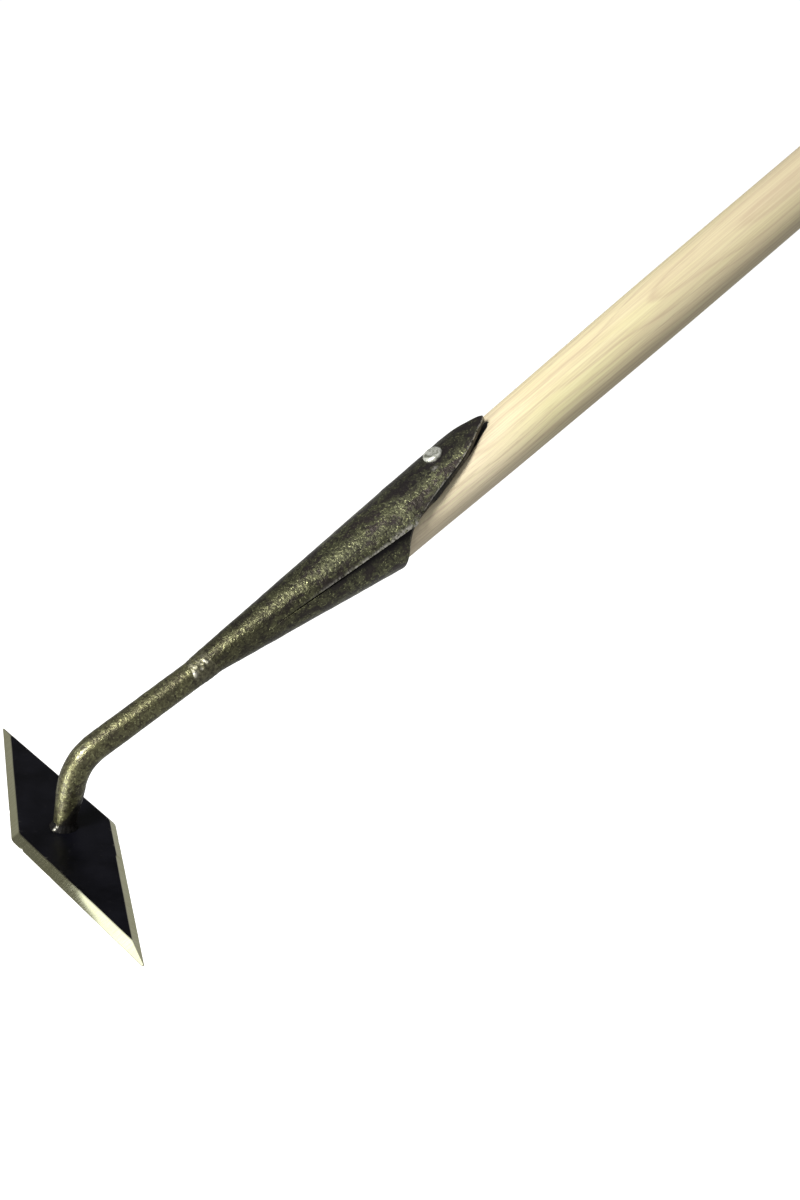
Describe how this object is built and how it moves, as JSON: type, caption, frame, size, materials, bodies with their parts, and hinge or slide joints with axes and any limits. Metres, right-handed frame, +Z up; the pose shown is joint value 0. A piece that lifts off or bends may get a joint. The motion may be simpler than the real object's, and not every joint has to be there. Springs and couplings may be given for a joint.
{
  "type": "draw hoe",
  "caption": "Draw hoe with a flat diamond blade welded to a bent round neck, a rolled steel socket with a riveted tongue, and a long turned ash handle.",
  "frame": {"origin": "middle of the blade's flat underside, on the ground plane", "axes": "+X towards the user, +Y across the blade, +Z up; the blade lies flat and the handle rises at 39.75 degrees in the XZ plane"},
  "size_m": [1.2433, 0.19, 1.0286],
  "materials": {
    "blade_steel": "satin black paint with bare ground bevels along all four edges",
    "bronze_paint": "mottled antique bronze hammered paint, semi-gloss",
    "weld_metal": "rough weld bead under thin paint",
    "ash_wood": "clear satin lacquer over pale ash",
    "rivet_steel": "bare, hammered"
  },
  "bodies": {
    "root": {"blade": "blade_steel", "neck_rod": "bronze_paint", "socket": "bronze_paint", "blade_weld": "weld_metal", "socket_weld": "bronze_paint", "handle": "ash_wood", "rivet": "rivet_steel", "rivet_washer": "rivet_steel"}
  },
  "joints": []
}
